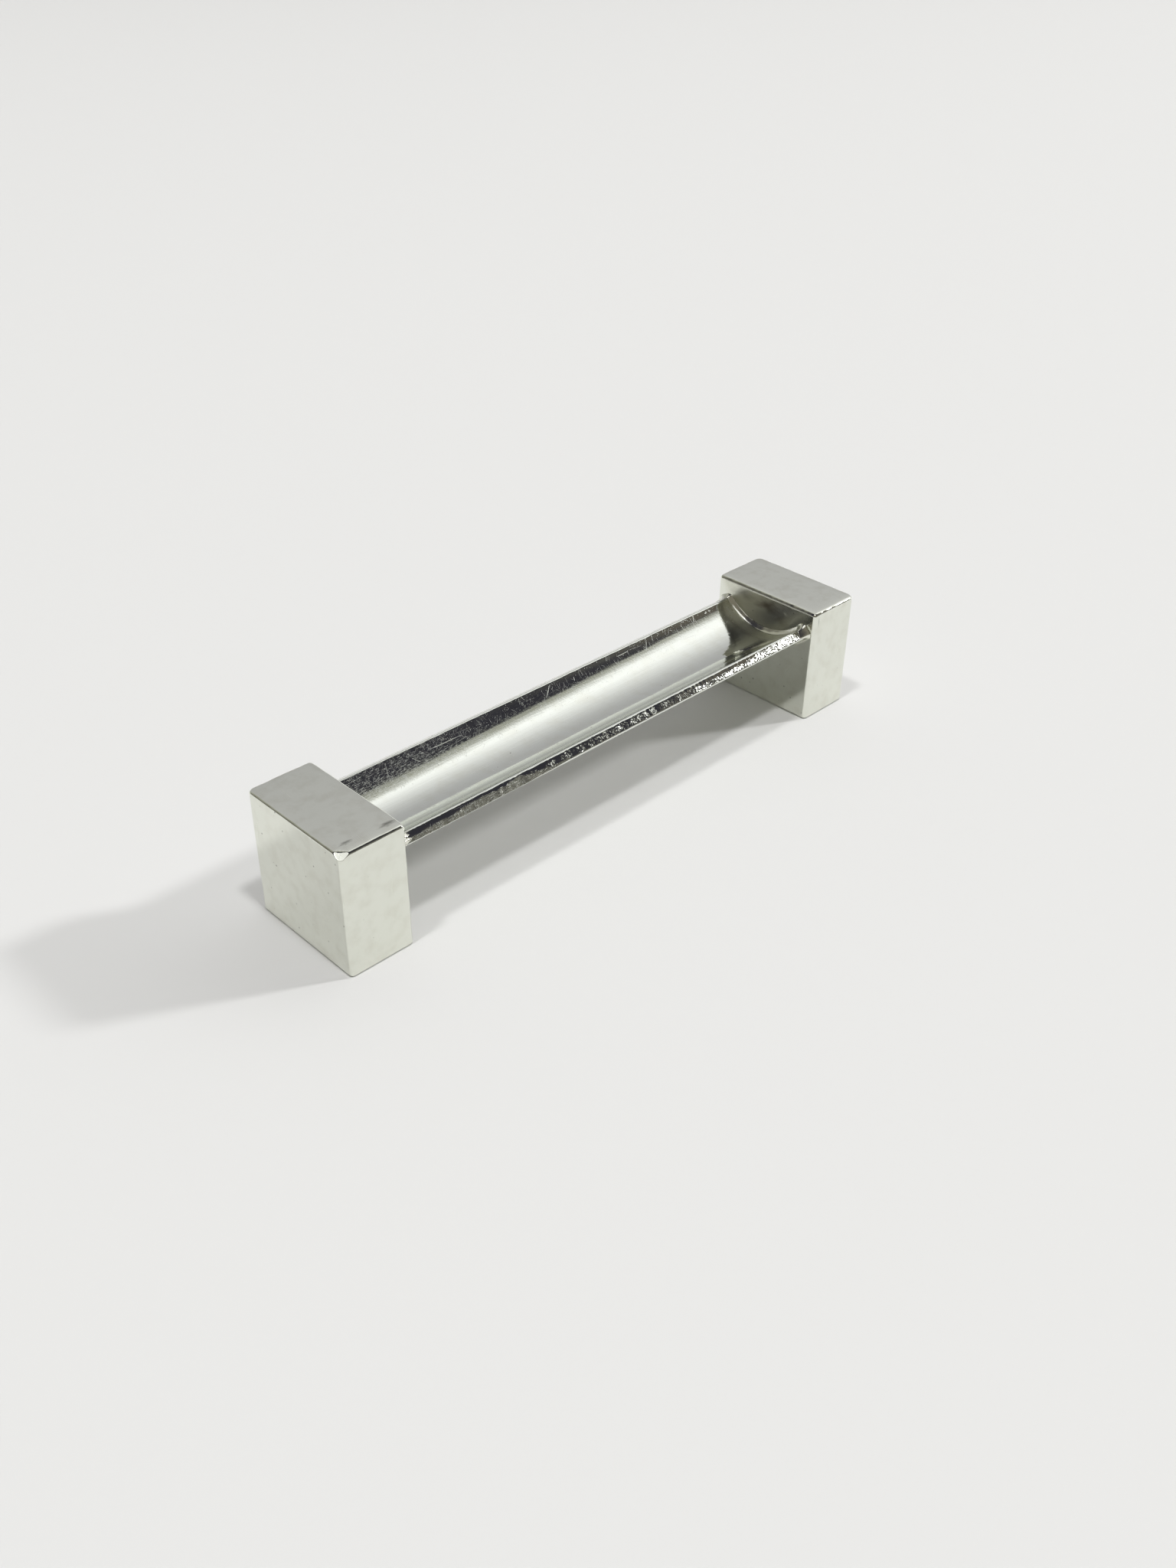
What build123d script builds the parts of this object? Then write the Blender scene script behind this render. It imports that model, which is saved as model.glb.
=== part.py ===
from build123d import *
import os
from math import radians, sin

# Knife rest: a shallow trough of rolled sheet, soldered between two upright end blocks.
# +X runs along the trough and +Z is up. The origin is on the table, under the trough's middle.
# Sizes are millimetres and angles are degrees.

# End blocks: lengths of rectangular bar that stand on their sawn ends
overall_length = 80.0
block_thickness = 8.0
block_width = 15.8
block_height = 15.1
outer_upright_radius = 0.85
inner_upright_radius = 0.5
level_edge_radius = 0.35

# Trough: sheet rolled to an arc, open side up, with both long rims filed to a slope
trough_side_margin = 0.77
trough_floor_drop = 5.1
trough_half_angle = 49.3
trough_wall = 1.4
rim_slope = 36.0
rim_edge_radius = 0.45

# Solder: a film in the butt joint at each end of the trough, and a hollow fillet right round it
solder_film = 0.1
solder_leg = 0.35

# Places that follow from the sizes above
inner_face_x = overall_length / 2 - block_thickness
block_centre_x = overall_length / 2 - block_thickness / 2
trough_length = 2 * (inner_face_x - solder_film)
outer_radius = (block_width / 2 - trough_side_margin) / sin(radians(trough_half_angle))
inner_radius = outer_radius - trough_wall
trough_floor_z = block_height - trough_floor_drop
trough_axis_z = trough_floor_z + inner_radius


def make_end_block(name, side):
    """Rectangular bar with its outer uprights rounded more than the edges beside the trough."""
    with BuildPart() as block:
        with BuildSketch():
            with Locations((side * block_centre_x, 0)):
                Rectangle(block_thickness, block_width)
        extrude(amount=block_height)
        uprights = block.edges().filter_by(Axis.Z).group_by(Axis.X)
        outer_pair, inner_pair = uprights if side < 0 else reversed(uprights)
        fillet(outer_pair, outer_upright_radius)
        fillet(inner_pair, inner_upright_radius)
        top_and_bottom = block.faces().filter_by(Axis.Z)
        fillet(top_and_bottom.edges(), level_edge_radius)
    block.part.label = name
    return block.part


def trough_section(plane):
    """Arc of sheet whose rims slope outwards, with its four long edges eased."""
    axis_point = (0, trough_axis_z)
    with BuildSketch(plane) as section:
        with BuildLine():
            inner_circle = Edge.make_circle(inner_radius, Plane(axis_point))
            outer_arc = CenterArc(axis_point, outer_radius, -90 - trough_half_angle, 2 * trough_half_angle)
            front_rim = PolarLine(outer_arc @ 0, inner_circle, rim_slope)
            back_rim = PolarLine(outer_arc @ 1, inner_circle, 180 - rim_slope)
            ThreePointArc(front_rim @ 1, (0, trough_floor_z), back_rim @ 1)
        make_face()
        fillet(section.vertices(), rim_edge_radius)
    return section.sketch


def make_trough(name):
    """Rolled sheet that reaches from block to block, less the solder film at each end."""
    with BuildPart() as trough:
        extrude(trough_section(Plane.YZ.offset(-trough_length / 2)), amount=trough_length)
    trough.part.label = name
    return trough.part


def make_solder_seam(name, side):
    """Film between the trough's end and a block's inner face, with a hollow fillet round its edge."""
    face_plane = Plane.YZ.offset(side * inner_face_x)
    trough_end = Plane.YZ.offset(side * trough_length / 2)
    with BuildPart() as seam:
        with BuildSketch(face_plane):
            with Locations((0, block_height / 2)):
                Rectangle(block_width, block_height)
        extrude(amount=side * block_thickness)
        extrude(trough_section(face_plane), amount=-side * inner_face_x)
        seat_face = seam.faces().filter_by(Axis.X).sort_by(Axis.X)[1]
        fillet(seat_face.inner_wires().edges(), solder_leg)
        split(bisect_by=face_plane, keep=Keep.TOP if side < 0 else Keep.BOTTOM)
        extrude(trough_section(trough_end), amount=-side * inner_face_x, mode=Mode.SUBTRACT)
    seam.part.label = name
    return seam.part


os.makedirs("parts", exist_ok=True)
pieces = [make_trough("trough")]
for end, side in (("left", -1), ("right", 1)):
    pieces.append(make_end_block(f"{end}_end_block", side))
    pieces.append(make_solder_seam(f"{end}_solder_seam", side))
for piece in pieces:
    export_step(piece, f"parts/{piece.label}.step")
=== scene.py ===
import logging
import math
from dataclasses import dataclass, field
from enum import Enum

import bpy
import numpy as np
from mathutils import Matrix, Vector


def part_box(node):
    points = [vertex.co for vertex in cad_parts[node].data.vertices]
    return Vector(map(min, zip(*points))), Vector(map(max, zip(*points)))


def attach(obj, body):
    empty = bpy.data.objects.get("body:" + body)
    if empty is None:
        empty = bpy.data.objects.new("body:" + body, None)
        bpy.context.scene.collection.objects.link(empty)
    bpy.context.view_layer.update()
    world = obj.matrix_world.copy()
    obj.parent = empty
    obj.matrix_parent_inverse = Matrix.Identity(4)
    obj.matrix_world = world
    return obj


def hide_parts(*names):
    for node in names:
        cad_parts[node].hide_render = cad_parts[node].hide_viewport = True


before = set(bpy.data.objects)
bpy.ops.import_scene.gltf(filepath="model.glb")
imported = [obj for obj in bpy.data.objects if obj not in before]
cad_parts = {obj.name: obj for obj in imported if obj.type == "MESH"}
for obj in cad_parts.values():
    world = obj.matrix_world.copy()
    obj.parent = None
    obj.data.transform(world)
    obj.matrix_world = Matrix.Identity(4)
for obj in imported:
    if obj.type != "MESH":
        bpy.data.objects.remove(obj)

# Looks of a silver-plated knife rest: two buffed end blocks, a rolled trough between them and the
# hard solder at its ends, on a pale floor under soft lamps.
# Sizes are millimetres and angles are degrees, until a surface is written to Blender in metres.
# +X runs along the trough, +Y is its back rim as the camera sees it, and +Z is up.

Pair = tuple[float, float]
Triple = tuple[float, float, float]
Quad = tuple[float, float, float, float]
Tree = bpy.types.NodeTree
Socket = bpy.types.NodeSocket

MM = 0.001
UV_NAME = "surface_mm"
RIM_NAME = "rim_share"
HAZE_NAME = "haze_share"
WEAR_NAME = "wear_share"
log = logging.getLogger("knife_rest")


class End(Enum):
    """Which end of the trough a piece belongs to, as the sign of its X."""

    LEFT = -1
    RIGHT = 1

    @property
    def word(self) -> str:
        """Name of the end, as the frame's nodes spell it."""
        return self.name.lower()


def linear(hex_colour: str) -> Quad:
    """Turns an sRGB hex colour into the linear colour that Blender's sockets take.

    Args:
        hex_colour: six hex digits with a leading hash.

    Returns:
        Linear red, green and blue, with an alpha of one.
    """
    srgb = np.array([int(hex_colour[i:i + 2], 16) / 255 for i in (1, 3, 5)])
    value = np.where(srgb <= 0.04045, srgb / 12.92, ((srgb + 0.055) / 1.055) ** 2.4)
    return (*(float(v) for v in value), 1.0)


def add_node(tree: Tree, kind: str, inputs: dict | None = None, **settings) -> bpy.types.Node:
    """Adds one node, sets its options and fills its inputs.

    Args:
        tree: node tree that gets the node.
        kind: Blender's name of the node's type.
        inputs: a value or another node's output for each input, by name or by place.
        **settings: options of the node, such as its blend type.

    Returns:
        The new node.
    """
    node = tree.nodes.new(kind)
    for name, value in settings.items():
        setattr(node, name, value)
    for key, value in (inputs or {}).items():
        if isinstance(value, Socket):
            tree.links.new(value, node.inputs[key])
        else:
            node.inputs[key].default_value = value
    return node


def new_material(name: str) -> tuple[bpy.types.Material, Tree]:
    """Makes a material with no nodes.

    Args:
        name: name of the material.

    Returns:
        The material and its empty node tree.
    """
    material = bpy.data.materials.new(name)
    material.use_nodes = True
    material.node_tree.nodes.clear()
    return material, material.node_tree


def box_mm(node: str) -> tuple[np.ndarray, np.ndarray]:
    """Lowest and highest corner of a CAD node, in millimetres."""
    low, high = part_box(node)
    return np.array(low) / MM, np.array(high) / MM


def ease(value: np.ndarray, low: float, high: float) -> np.ndarray:
    """Smooth step: 0 at low, 1 at high, with level ends; low may be the larger."""
    t = np.clip((value - low) / (high - low), 0.0, 1.0)
    return t * t * (3.0 - 2.0 * t)


def between(value: np.ndarray, begins: float, full: float, full_no_more: float, ends: float) -> np.ndarray:
    """Smooth hump: 0 until it begins, 1 from where it is full until it is full no more, 0 after it ends."""
    return ease(value, begins, full) * ease(value, ends, full_no_more)


def spread(low: float, high: float, count: int) -> np.ndarray:
    """Places from low to high that crowd towards both ends, as a cosine does."""
    return low + (high - low) * (1 - np.cos(np.linspace(0.0, math.pi, count))) / 2


@dataclass(frozen=True)
class Wave:
    """A smooth uneven line: a sum of sine waves of about one length.

    Attributes:
        length: length of the middle wave.
        seed: picks the waves' lengths and phases.
        swing: how far the line swings to each side.
        count: how many sine waves are added.
    """

    length: float
    seed: int
    swing: float = 1.0
    count: int = 5
    SPREAD = (0.6, 1.7)

    def at(self, where: np.ndarray, loop: float = 0.0) -> np.ndarray:
        """Works out the line.

        Args:
            where: places along the line.
            loop: length of a closed line, which the waves then fit a whole number of times, or 0.

        Returns:
            One value for each place.
        """
        draw = np.random.default_rng(self.seed)
        lengths = self.length * draw.uniform(*self.SPREAD, self.count)
        if loop:
            lengths = loop / np.round(loop / lengths)
        phases = draw.uniform(0.0, 2 * math.pi, self.count)
        waves = np.sin(2 * math.pi * where[..., None] / lengths + phases)
        return self.swing * waves.sum(-1) / self.count


def add_waves(where: np.ndarray, waves: tuple[Wave, ...]) -> np.ndarray:
    """Sum of several uneven lines at the same places."""
    return sum(wave.at(where) for wave in waves)


@dataclass
class SurfaceGrid:
    """A surface on a grid of rows and columns, closed round each row.

    Attributes:
        points: place of each grid point, rows by columns by 3.
        uv: pattern coordinates of each row of faces: its lower and upper edge, columns plus one.
        masks: named shares of a finish at each grid point, such as the filed rims'.
        poles: the point that closes the first row and the one that closes the last, or None.
        flat_ends: True to close the first and the last row with one flat face each.
        closed_rows: True to join the last row to the first one.
    """

    points: np.ndarray
    uv: np.ndarray
    masks: dict[str, np.ndarray] = field(default_factory=dict)
    poles: np.ndarray | None = None
    flat_ends: bool = False
    closed_rows: bool = False

    def faces(self) -> tuple[np.ndarray, np.ndarray, np.ndarray]:
        """Lists the corners of all faces.

        Returns:
            The vertex of each corner, the first corner of each face, and each corner's UV.
        """
        rows, columns = self.points.shape[:2]
        index = np.arange(rows * columns).reshape(rows, columns)
        lower = index if self.closed_rows else index[:-1]
        upper = np.roll(index, -1, 0) if self.closed_rows else index[1:]
        quads = np.stack([lower, np.roll(lower, -1, 1), np.roll(upper, -1, 1), upper], -1)
        lower_uv, upper_uv = self.uv[:, 0], self.uv[:, 1]
        quad_uv = np.stack([lower_uv[:, :-1], lower_uv[:, 1:], upper_uv[:, 1:], upper_uv[:, :-1]], -2)
        corners = [quads.reshape(-1)]
        sizes = [np.full(quads.size // 4, 4)]
        uvs = [quad_uv.reshape(-1, 2)]
        first, first_uv, last, last_uv = index[0], lower_uv[0], index[-1], upper_uv[-1]
        if self.poles is not None:
            for pole, order, ring, ring_uv in ((0, -1, first, first_uv), (1, 1, last, last_uv)):
                tip = np.full(columns, rows * columns + pole)
                middle = np.broadcast_to(ring_uv[:-1].mean(0), (columns, 2))
                edge, edge_uv = [ring, np.roll(ring, -1)][::order], [ring_uv[:-1], ring_uv[1:]][::order]
                corners.append(np.stack([*edge, tip], -1).reshape(-1))
                sizes.append(np.full(columns, 3))
                uvs.append(np.stack([*edge_uv, middle], 1).reshape(-1, 2))
        if self.flat_ends:
            for ring, ring_uv in ((first[::-1], first_uv[:-1][::-1]), (last, last_uv[:-1])):
                corners.append(ring)
                sizes.append(np.array([columns]))
                uvs.append(ring_uv)
        starts = np.concatenate([[0], np.cumsum(np.concatenate(sizes))[:-1]])
        return np.concatenate(corners), starts, np.concatenate(uvs)

    def to_object(self, name: str) -> bpy.types.Object:
        """Writes the surface to a smooth-shaded mesh object at the origin.

        Args:
            name: name of the object and of its mesh.

        Returns:
            The object, linked to the scene, with its UV map and its masks.
        """
        places = self.points.reshape(-1, 3)
        if self.poles is not None:
            places = np.concatenate([places, self.poles])
        corners, starts, uvs = self.faces()
        mesh = bpy.data.meshes.new(name)
        mesh.vertices.add(len(places))
        mesh.vertices.foreach_set("co", (places * MM).astype(np.float32).ravel())
        mesh.loops.add(len(corners))
        mesh.loops.foreach_set("vertex_index", corners.astype(np.int32))
        mesh.polygons.add(len(starts))
        mesh.polygons.foreach_set("loop_start", starts.astype(np.int32))
        mesh.polygons.foreach_set("use_smooth", np.ones(len(starts), dtype=bool))
        mesh.uv_layers.new(name=UV_NAME).data.foreach_set("uv", uvs.astype(np.float32).ravel())
        for mask, share in self.masks.items():
            values = np.concatenate([share.ravel(), np.zeros(len(places) - share.size)])
            attribute = mesh.attributes.new(mask, "FLOAT", "POINT")
            attribute.data.foreach_set("value", values.astype(np.float32))
        mesh.update(calc_edges=True)
        mesh.validate()
        piece = bpy.data.objects.new(name, mesh)
        bpy.context.scene.collection.objects.link(piece)
        return piece


def put_in_frame(piece: bpy.types.Object, node: str, material: bpy.types.Material) -> None:
    """Gives a piece its material and lets it stand for a node of the frame.

    Args:
        piece: mesh object at the origin.
        node: CAD node that the piece replaces.
        material: finish of the whole piece.
    """
    piece.data.materials.append(material)
    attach(piece, "root")
    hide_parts(node)
    log.info("%s: %d faces, for node %s", piece.name, len(piece.data.polygons), node)


@dataclass(frozen=True)
class Hairlines:
    """One set of fine straight scratches, all one way.

    Attributes:
        turn: direction of the scratches, from the pattern's first axis.
        length: spacing of the scratches along their direction; a scratch is a third of it.
        width: spacing across their direction; a scratch is a third of it.
        keep: share of the places that hold a scratch.
        worn_keep: share that is added where the wear mask is 1.
    """

    turn: float
    length: float
    width: float
    keep: float
    worn_keep: float = 0.0
    CORE = 0.06
    EDGE = 0.20
    DEPTH_POWER = 1.6
    SIDE_SHIFT = 0.7

    def draw(self, tree: Tree, where: Socket, wear: Socket, shift: float) -> Socket:
        """Draws the scratches: some cells of a long, thin cell pattern hold one along their middle.

        Args:
            tree: node tree that gets the pattern.
            where: pattern coordinates in millimetres.
            wear: mask of the places that are worn most.
            shift: moves the pattern, so that no two sets are alike.

        Returns:
            Output that is 1 in the middle of a scratch and 0 off it.
        """
        placed = add_node(tree, "ShaderNodeMapping", {
            "Vector": where, "Location": (shift, shift * self.SIDE_SHIFT, 0.0),
            "Rotation": (0.0, 0.0, math.radians(self.turn)),
            "Scale": (self.length, self.width, 1.0)}, vector_type="TEXTURE")
        cells = add_node(tree, "ShaderNodeTexVoronoi", {
            "Vector": placed.outputs[0], "Scale": 1.0}, voronoi_dimensions="2D")
        line = add_node(tree, "ShaderNodeMapRange", {
            "Value": cells.outputs["Distance"], "From Min": self.CORE, "From Max": self.EDGE,
            "To Min": 1.0, "To Max": 0.0}, interpolation_type="SMOOTHSTEP")
        lot = add_node(tree, "ShaderNodeSeparateColor", {"Color": cells.outputs["Color"]})
        keep = add_node(tree, "ShaderNodeMath", {
            0: wear, 1: self.worn_keep, 2: self.keep}, operation="MULTIPLY_ADD")
        kept = add_node(tree, "ShaderNodeMath", {
            0: lot.outputs["Red"], 1: keep.outputs[0]}, operation="LESS_THAN")
        depth = add_node(tree, "ShaderNodeMath", {
            0: lot.outputs["Green"], 1: self.DEPTH_POWER}, operation="POWER")
        fade = add_node(tree, "ShaderNodeMath", {
            0: line.outputs[0], 1: depth.outputs[0]}, operation="MULTIPLY")
        return add_node(tree, "ShaderNodeMath", {
            0: fade.outputs[0], 1: kept.outputs[0]}, operation="MULTIPLY").outputs[0]


@dataclass(frozen=True)
class Gouge:
    """One deep scratch, as the tip of a blade leaves it: thin, and run out to a point at both ends.

    Attributes:
        place: its middle, in the pattern's coordinates.
        turn: its direction, from the pattern's first axis.
        length: how long it is.
        width: how wide it is in the middle.
    """

    place: Pair
    turn: float
    length: float
    width: float = 0.09
    CORE = 0.4

    def draw(self, tree: Tree, where: Socket) -> Socket:
        """Draws the scratch: the distance from its middle, in its own half sizes.

        Args:
            tree: node tree that gets the pattern.
            where: pattern coordinates in millimetres.

        Returns:
            Output that is 1 along the scratch and 0 off it.
        """
        placed = add_node(tree, "ShaderNodeMapping", {
            "Vector": where, "Location": (*self.place, 0.0),
            "Rotation": (0.0, 0.0, math.radians(self.turn)),
            "Scale": (self.length / 2, self.width / 2, 1.0)}, vector_type="TEXTURE")
        far = add_node(tree, "ShaderNodeVectorMath", {0: placed.outputs[0]}, operation="LENGTH")
        return add_node(tree, "ShaderNodeMapRange", {
            "Value": far.outputs["Value"], "From Min": 1.0, "From Max": self.CORE}).outputs[0]


@dataclass(frozen=True)
class Blot:
    """A small ragged mark on the plate: a stain, or a scuff that scatters light.

    Attributes:
        place: its middle, in the part's frame.
        reach: its half size along each axis.
        share: how strongly it colours the plate.
        scuff: roughness in its middle, or 0 for a stain alone.
        colour: colour of the stain.
    """

    place: Triple
    reach: Triple
    share: float = 0.6
    scuff: float = 0.0
    colour: str = "#55524a"
    RAGS = 1.5
    RAG_SHARE = 1.2
    EDGE = 1.6
    CORE = 0.6

    def draw(self, tree: Tree, place: Socket) -> Socket:
        """Draws the mark: the distance from its middle, in its own half sizes, made ragged by noise.

        Args:
            tree: node tree that gets the pattern.
            place: Object coordinates in metres.

        Returns:
            Output that is 1 in the middle of the mark and 0 off it.
        """
        spot = add_node(tree, "ShaderNodeMapping", {
            "Vector": place, "Location": tuple(v * MM for v in self.place),
            "Scale": tuple(v * MM for v in self.reach)}, vector_type="TEXTURE")
        ragged = add_node(tree, "ShaderNodeTexNoise", {
            "Vector": spot.outputs[0], "Scale": self.RAGS, "Detail": 4.0})
        far = add_node(tree, "ShaderNodeVectorMath", {0: spot.outputs[0]}, operation="LENGTH")
        edge = add_node(tree, "ShaderNodeMath", {
            0: ragged.outputs[0], 1: self.RAG_SHARE, 2: far.outputs["Value"]}, operation="MULTIPLY_ADD")
        return add_node(tree, "ShaderNodeMapRange", {
            "Value": edge.outputs[0], "From Min": self.EDGE, "From Max": self.CORE},
            interpolation_type="SMOOTHSTEP").outputs[0]


@dataclass(frozen=True)
class SilverPlate:
    """Silver electroplate over brass, buffed: a clear mirror, a little warm, with hairlines and specks.

    Attributes:
        name: name of the material.
        hairlines: sets of fine scratches.
        line_slope: slope of the ripples that the polishing lines leave.
        grain_slope: slope of the fine grain that the polish has left.
        line_turn: direction of the polishing lines, from the pattern's first axis.
        blots: stains and scuffs.
        gouges: deep scratches.
        clean: colour of fresh silver.
        tarnish: colour where a thin film of tarnish yellows it.
        haze: colour in the soldered corners, where no buff reaches.
        roughness: blur of the buffed mirror.
        smear: more blur where it has been handled.
        haze_roughness: blur in the soldered corners.
        scratch_roughness: blur inside a hairline.
        gouge_roughness: blur inside a deep scratch.
        file_roughness: blur of the filed rims.
    """

    name: str
    hairlines: tuple[Hairlines, ...]
    line_slope: float
    grain_slope: float
    line_turn: float = 0.0
    blots: tuple[Blot, ...] = ()
    gouges: tuple[Gouge, ...] = ()
    clean: str = "#e9ebe1"
    tarnish: str = "#e1e2d7"
    haze: str = "#dadbce"
    roughness: float = 0.07
    smear: float = 0.05
    haze_roughness: float = 0.30
    scratch_roughness: float = 0.46
    gouge_roughness: float = 0.60
    file_roughness: float = 0.14

    # Film and smears: the size of a blob, and the part of the noise over which it shows
    TARNISH_BLOB = 1.6
    TARNISH_RANGE = (0.40, 0.75)
    SMEAR_BLOB = 2.2
    SMEAR_RANGE = (0.35, 0.75)

    # Specks: the share of places that hold one at the foot and above the rise, and the least and most reach
    SPECK_COLOUR = "#4a483f"
    SPECK_SPACING = 1.0
    SPECK_KEEP = (0.60, 0.12)
    SPECK_RISE = 7.0
    SPECK_REACH = (0.05, 0.16)

    # Polishing lines and grain, and how far Blender's noise swings from its middle
    LINE_SPACING = 0.36
    LINE_LENGTH = 7.0
    GRAIN = 0.28
    NOISE_SWING = 0.2

    # File marks: the size of a facet, the direction of the strokes and how far a facet leans
    FILE_MARK = 0.08
    FILE_STROKE = 0.13
    FILE_TURN = 24.0
    FILE_TILT = 9.0

    # Fretting: the size and the direction of a streak, the part of the noise that shows, and its blur
    FRET = (0.70, 0.11)
    FRET_TURN = 6.0
    FRET_RANGE = (0.45, 0.80)
    FRET_ROUGHNESS = 0.38

    HAIRLINE_SHIFT = 3.7

    def build(self) -> bpy.types.Material:
        """Makes the material.

        Returns:
            A material that reads Object coordinates, and the piece's UV map in millimetres and its masks.
        """
        material, tree = new_material(self.name)
        place = add_node(tree, "ShaderNodeTexCoord").outputs["Object"]
        flat = add_node(tree, "ShaderNodeUVMap", uv_map=UV_NAME).outputs[0]
        rim, haze, wear = (add_node(tree, "ShaderNodeAttribute", attribute_name=mask).outputs["Fac"]
                           for mask in (RIM_NAME, HAZE_NAME, WEAR_NAME))
        layers = [(haze, self.haze_roughness), (rim, self.file_roughness)]
        shader = add_node(tree, "ShaderNodeBsdfPrincipled", {
            "Base Color": self.draw_colour(tree, place, haze),
            "Metallic": 1.0,
            "Roughness": self.draw_blur(tree, place, flat, wear, layers),
            "Normal": self.draw_relief(tree, flat, rim)})
        add_node(tree, "ShaderNodeOutputMaterial", {"Surface": shader.outputs[0]})
        return material

    def draw_colour(self, tree: Tree, place: Socket, haze: Socket) -> Socket:
        """Draws the colour of the plate: silver, its film of tarnish, dull corners, specks and stains.

        Args:
            tree: node tree that gets the pattern.
            place: Object coordinates in metres.
            haze: mask of the dull corners.

        Returns:
            Output with the colour.
        """
        film = add_node(tree, "ShaderNodeTexNoise", {
            "Vector": place, "Scale": 1 / (self.TARNISH_BLOB * MM), "Detail": 6.0})
        film_share = add_node(tree, "ShaderNodeMapRange", {
            "Value": film.outputs[0], "From Min": self.TARNISH_RANGE[0], "From Max": self.TARNISH_RANGE[1]},
            interpolation_type="SMOOTHSTEP")

        # Specks: the cells of a cell pattern that hold a dark dot, more of them near the foot
        specks = add_node(tree, "ShaderNodeTexVoronoi", {
            "Vector": place, "Scale": 1 / (self.SPECK_SPACING * MM)})
        lot = add_node(tree, "ShaderNodeSeparateColor", {"Color": specks.outputs["Color"]})
        height = add_node(tree, "ShaderNodeSeparateXYZ", {0: place})
        keep = add_node(tree, "ShaderNodeMapRange", {
            "Value": height.outputs["Z"], "From Max": self.SPECK_RISE * MM,
            "To Min": self.SPECK_KEEP[0], "To Max": self.SPECK_KEEP[1]})
        kept = add_node(tree, "ShaderNodeMath", {
            0: lot.outputs["Red"], 1: keep.outputs[0]}, operation="LESS_THAN")
        smallest, largest = (reach / self.SPECK_SPACING for reach in self.SPECK_REACH)
        reach = add_node(tree, "ShaderNodeMapRange", {
            "Value": lot.outputs["Green"], "To Min": smallest, "To Max": largest})
        inside = add_node(tree, "ShaderNodeMapRange", {
            "Value": specks.outputs["Distance"], "From Min": reach.outputs[0], "From Max": 0.0})
        speck = add_node(tree, "ShaderNodeMath", {
            0: inside.outputs[0], 1: kept.outputs[0]}, operation="MULTIPLY")

        layers = [(film_share.outputs[0], self.tarnish), (haze, self.haze),
                  (speck.outputs[0], self.SPECK_COLOUR)]
        for blot in self.blots:
            if blot.share:
                stain = add_node(tree, "ShaderNodeMath", {
                    0: blot.draw(tree, place), 1: blot.share}, operation="MULTIPLY")
                layers.append((stain.outputs[0], blot.colour))
        colour = linear(self.clean)
        for share, layer in layers:
            colour = add_node(tree, "ShaderNodeMix", {
                0: share, 6: colour, 7: linear(layer)}, data_type="RGBA").outputs[2]
        return colour

    def draw_blur(self, tree: Tree, place: Socket, flat: Socket, wear: Socket,
                  layers: list[tuple[Socket, float]]) -> Socket:
        """Draws the roughness: handled blobs, then each mark's own blur over them, and the fretting on top.

        Args:
            tree: node tree that gets the pattern.
            place: Object coordinates in metres.
            flat: pattern coordinates in millimetres.
            wear: mask of the places that are worn most.
            layers: masks of whole parts of the piece, each with its blur.

        Returns:
            Output with the roughness.
        """
        handled = add_node(tree, "ShaderNodeTexNoise", {
            "Vector": place, "Scale": 1 / (self.SMEAR_BLOB * MM), "Detail": 4.0})
        rough = add_node(tree, "ShaderNodeMapRange", {
            "Value": handled.outputs[0], "From Min": self.SMEAR_RANGE[0], "From Max": self.SMEAR_RANGE[1],
            "To Min": self.roughness, "To Max": self.roughness + self.smear}).outputs[0]

        # A scratch scatters light, so it is a thin line of blurred mirror, drawn wide enough to show
        scuffs = [(blot.draw(tree, place), blot.scuff) for blot in self.blots if blot.scuff]
        scratches = [(lines.draw(tree, flat, wear, self.HAIRLINE_SHIFT * number), self.scratch_roughness)
                     for number, lines in enumerate(self.hairlines)]
        gouges = [(gouge.draw(tree, flat), self.gouge_roughness) for gouge in self.gouges]
        for mask, blur in layers + scuffs + scratches + gouges:
            rough = add_node(tree, "ShaderNodeMix", {0: mask, 2: rough, 3: blur}).outputs[0]

        # Fretting: streaks of fine wear, which pale the black that the worn wall mirrors
        fret_at = add_node(tree, "ShaderNodeMapping", {
            "Vector": flat, "Rotation": (0.0, 0.0, math.radians(self.FRET_TURN)),
            "Scale": (*self.FRET, 1.0)}, vector_type="TEXTURE")
        fret = add_node(tree, "ShaderNodeTexNoise", {
            "Vector": fret_at.outputs[0], "Scale": 1.0, "Detail": 3.0}, noise_dimensions="2D")
        fretted = add_node(tree, "ShaderNodeMapRange", {
            "Value": fret.outputs[0], "From Min": self.FRET_RANGE[0], "From Max": self.FRET_RANGE[1],
            "To Max": self.FRET_ROUGHNESS})
        return add_node(tree, "ShaderNodeMath", {
            0: fretted.outputs[0], 1: wear, 2: rough}, operation="MULTIPLY_ADD").outputs[0]

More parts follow.
